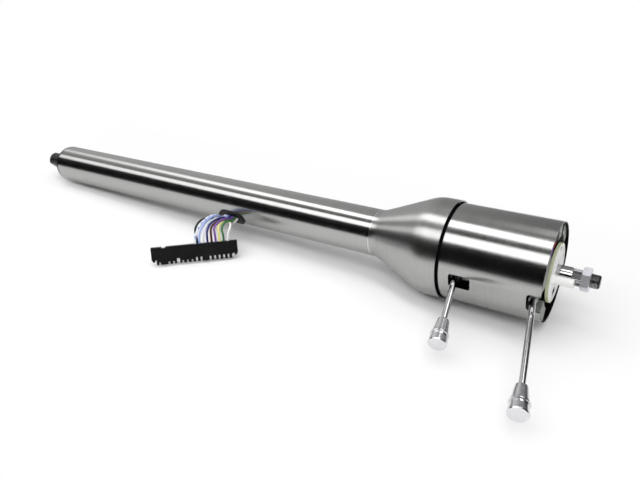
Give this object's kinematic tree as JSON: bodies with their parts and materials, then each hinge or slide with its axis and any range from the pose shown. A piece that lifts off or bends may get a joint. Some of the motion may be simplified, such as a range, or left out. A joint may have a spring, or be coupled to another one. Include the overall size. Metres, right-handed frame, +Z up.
{
  "type": "steering column",
  "caption": "Tilting steering column with brushed tube and flared bell, cylindrical head with two levers, splined wheel shaft and wire harness with flat plug.",
  "frame": {"origin": "centre of the jacket tube's lower end, on the tube's axis", "axes": "+X along the axis towards the steering wheel, +Z up as the column lies, -Y towards the two levers"},
  "size_m": [0.8793, 0.2594, 0.1132],
  "materials": {
    "brushed": "brushed bare steel with fine marks along the tube",
    "bright_steel": "bright machined steel",
    "stainless_lever": "polished rod and knob",
    "dark_steel": "dark oiled steel",
    "bearing_steel": "ground bearing steel",
    "die_cast": "grey die casting",
    "black_plastic": "black moulded plastic",
    "black_rubber": "soft black rubber",
    "black_paint": "satin black paint",
    "cream_plastic": "off-white moulded plastic",
    "brass": "plain brass",
    "tin": "bright tinned blades",
    "zinc": "zinc plated",
    "wire_black": "insulation",
    "wire_lavender": "insulation",
    "wire_light_blue": "insulation",
    "wire_clear": "insulation",
    "wire_dark_blue": "insulation",
    "wire_brown": "insulation",
    "wire_purple": "insulation",
    "wire_yellow": "insulation",
    "wire_dark_green": "insulation",
    "wire_white": "insulation"
  },
  "bodies": {
    "jacket": {"jacket_tube": "brushed", "lower_bell": "brushed", "wire_grommet": "black_rubber", "lower_bearing_adapter": "black_plastic", "lower_bearing_outer_race": "bearing_steel", "lower_bearing_balls": "bearing_steel", "jacket_end_plate": "dark_steel", "tilt_support": "die_cast", "support_screws": "zinc", "tilt_pivot_pins": "bearing_steel", "gap_skirt": "black_paint", "tilt_spring": "dark_steel", "inner_harness": "black_rubber", "connector_body": "black_plastic", "connector_terminals": "tin", "wire_black": "wire_black", "wire_lavender": "wire_lavender", "wire_light_blue": "wire_light_blue", "wire_clear": "wire_clear", "wire_dark_blue": "wire_dark_blue", "wire_brown": "wire_brown", "wire_purple": "wire_purple", "wire_yellow": "wire_yellow", "wire_dark_green": "wire_dark_green", "wire_white": "wire_white"},
    "lower_shaft": {"lower_shaft": "dark_steel", "lower_bearing_inner_race": "bearing_steel", "shaft_joint_ball": "bearing_steel"},
    "head": {"tilt_housing": "die_cast", "upper_shroud": "brushed", "housing_lower_outer_race": "bearing_steel", "housing_lower_balls": "bearing_steel", "housing_upper_outer_race": "bearing_steel", "housing_upper_balls": "bearing_steel", "switch_housing": "die_cast", "turn_signal_switch": "black_plastic", "switch_screws": "zinc", "switch_leads": "wire_purple", "tilt_spring_guide": "dark_steel", "shoe_pins": "bearing_steel", "tilt_lever_pin": "bearing_steel", "turn_lever_pin": "bearing_steel"},
    "upper_shaft": {"upper_shaft": "bright_steel", "wheel_nut": "zinc", "cancel_cam": "cream_plastic", "horn_ring": "brass", "cam_spring": "bearing_steel", "housing_lower_inner_race": "bearing_steel", "housing_upper_inner_race": "bearing_steel"},
    "tilt_lever": {"tilt_release_arm": "die_cast", "tilt_lever_rod": "stainless_lever", "tilt_lever_knob": "stainless_lever"},
    "lock_shoes": {"lock_shoes": "dark_steel"},
    "turn_lever": {"turn_lever_carrier": "die_cast", "turn_lever_rod": "stainless_lever", "turn_lever_knob": "stainless_lever"},
    "hazard": {"hazard_knob": "stainless_lever"}
  },
  "joints": [
    {"name": "lower_shaft_spin", "type": "hinge", "parent": "jacket", "child": "lower_shaft", "pos_m": [0, 0, 0], "axis": [1, 0, 0], "continuous": true},
    {"name": "head_tilt", "type": "hinge", "parent": "jacket", "child": "head", "pos_m": [0.6886, 0, 0], "axis": [0, 1, 0], "range_deg": [-15, 10], "deforming": ["tilt_spring"]},
    {"name": "wheel_shaft_spin", "type": "hinge", "parent": "head", "child": "upper_shaft", "pos_m": [0.6886, 0, 0], "axis": [1, 0, 0], "continuous": true},
    {"name": "tilt_release", "type": "hinge", "parent": "head", "child": "tilt_lever", "pos_m": [0.714, -0.034, -0.002], "axis": [0, 0, 1], "range_deg": [0, 12], "stiffness_Nm_per_rad": 0.6, "springref_deg": -8.59},
    {"name": "shoe_release", "type": "hinge", "parent": "head", "child": "lock_shoes", "pos_m": [0.7166, 0, -0.034], "axis": [0, 1, 0], "range_deg": [-4.8, 0]},
    {"name": "turn_signal", "type": "hinge", "parent": "head", "child": "turn_lever", "pos_m": [0.78, -0.035, -0.00912], "axis": [1, 0, 0], "range_deg": [-7, 7]},
    {"name": "hazard_push", "type": "slide", "parent": "head", "child": "hazard", "axis": [0, 1, 0], "range_m": [-0.005, 0], "stiffness_N_per_m": 300, "springref_m": 0.002}
  ],
  "couplings": [
    {"joint": "wheel_shaft_spin", "follows": "lower_shaft_spin", "ratio": 1},
    {"joint": "shoe_release", "follows": "tilt_release", "ratio": -0.4}
  ]
}
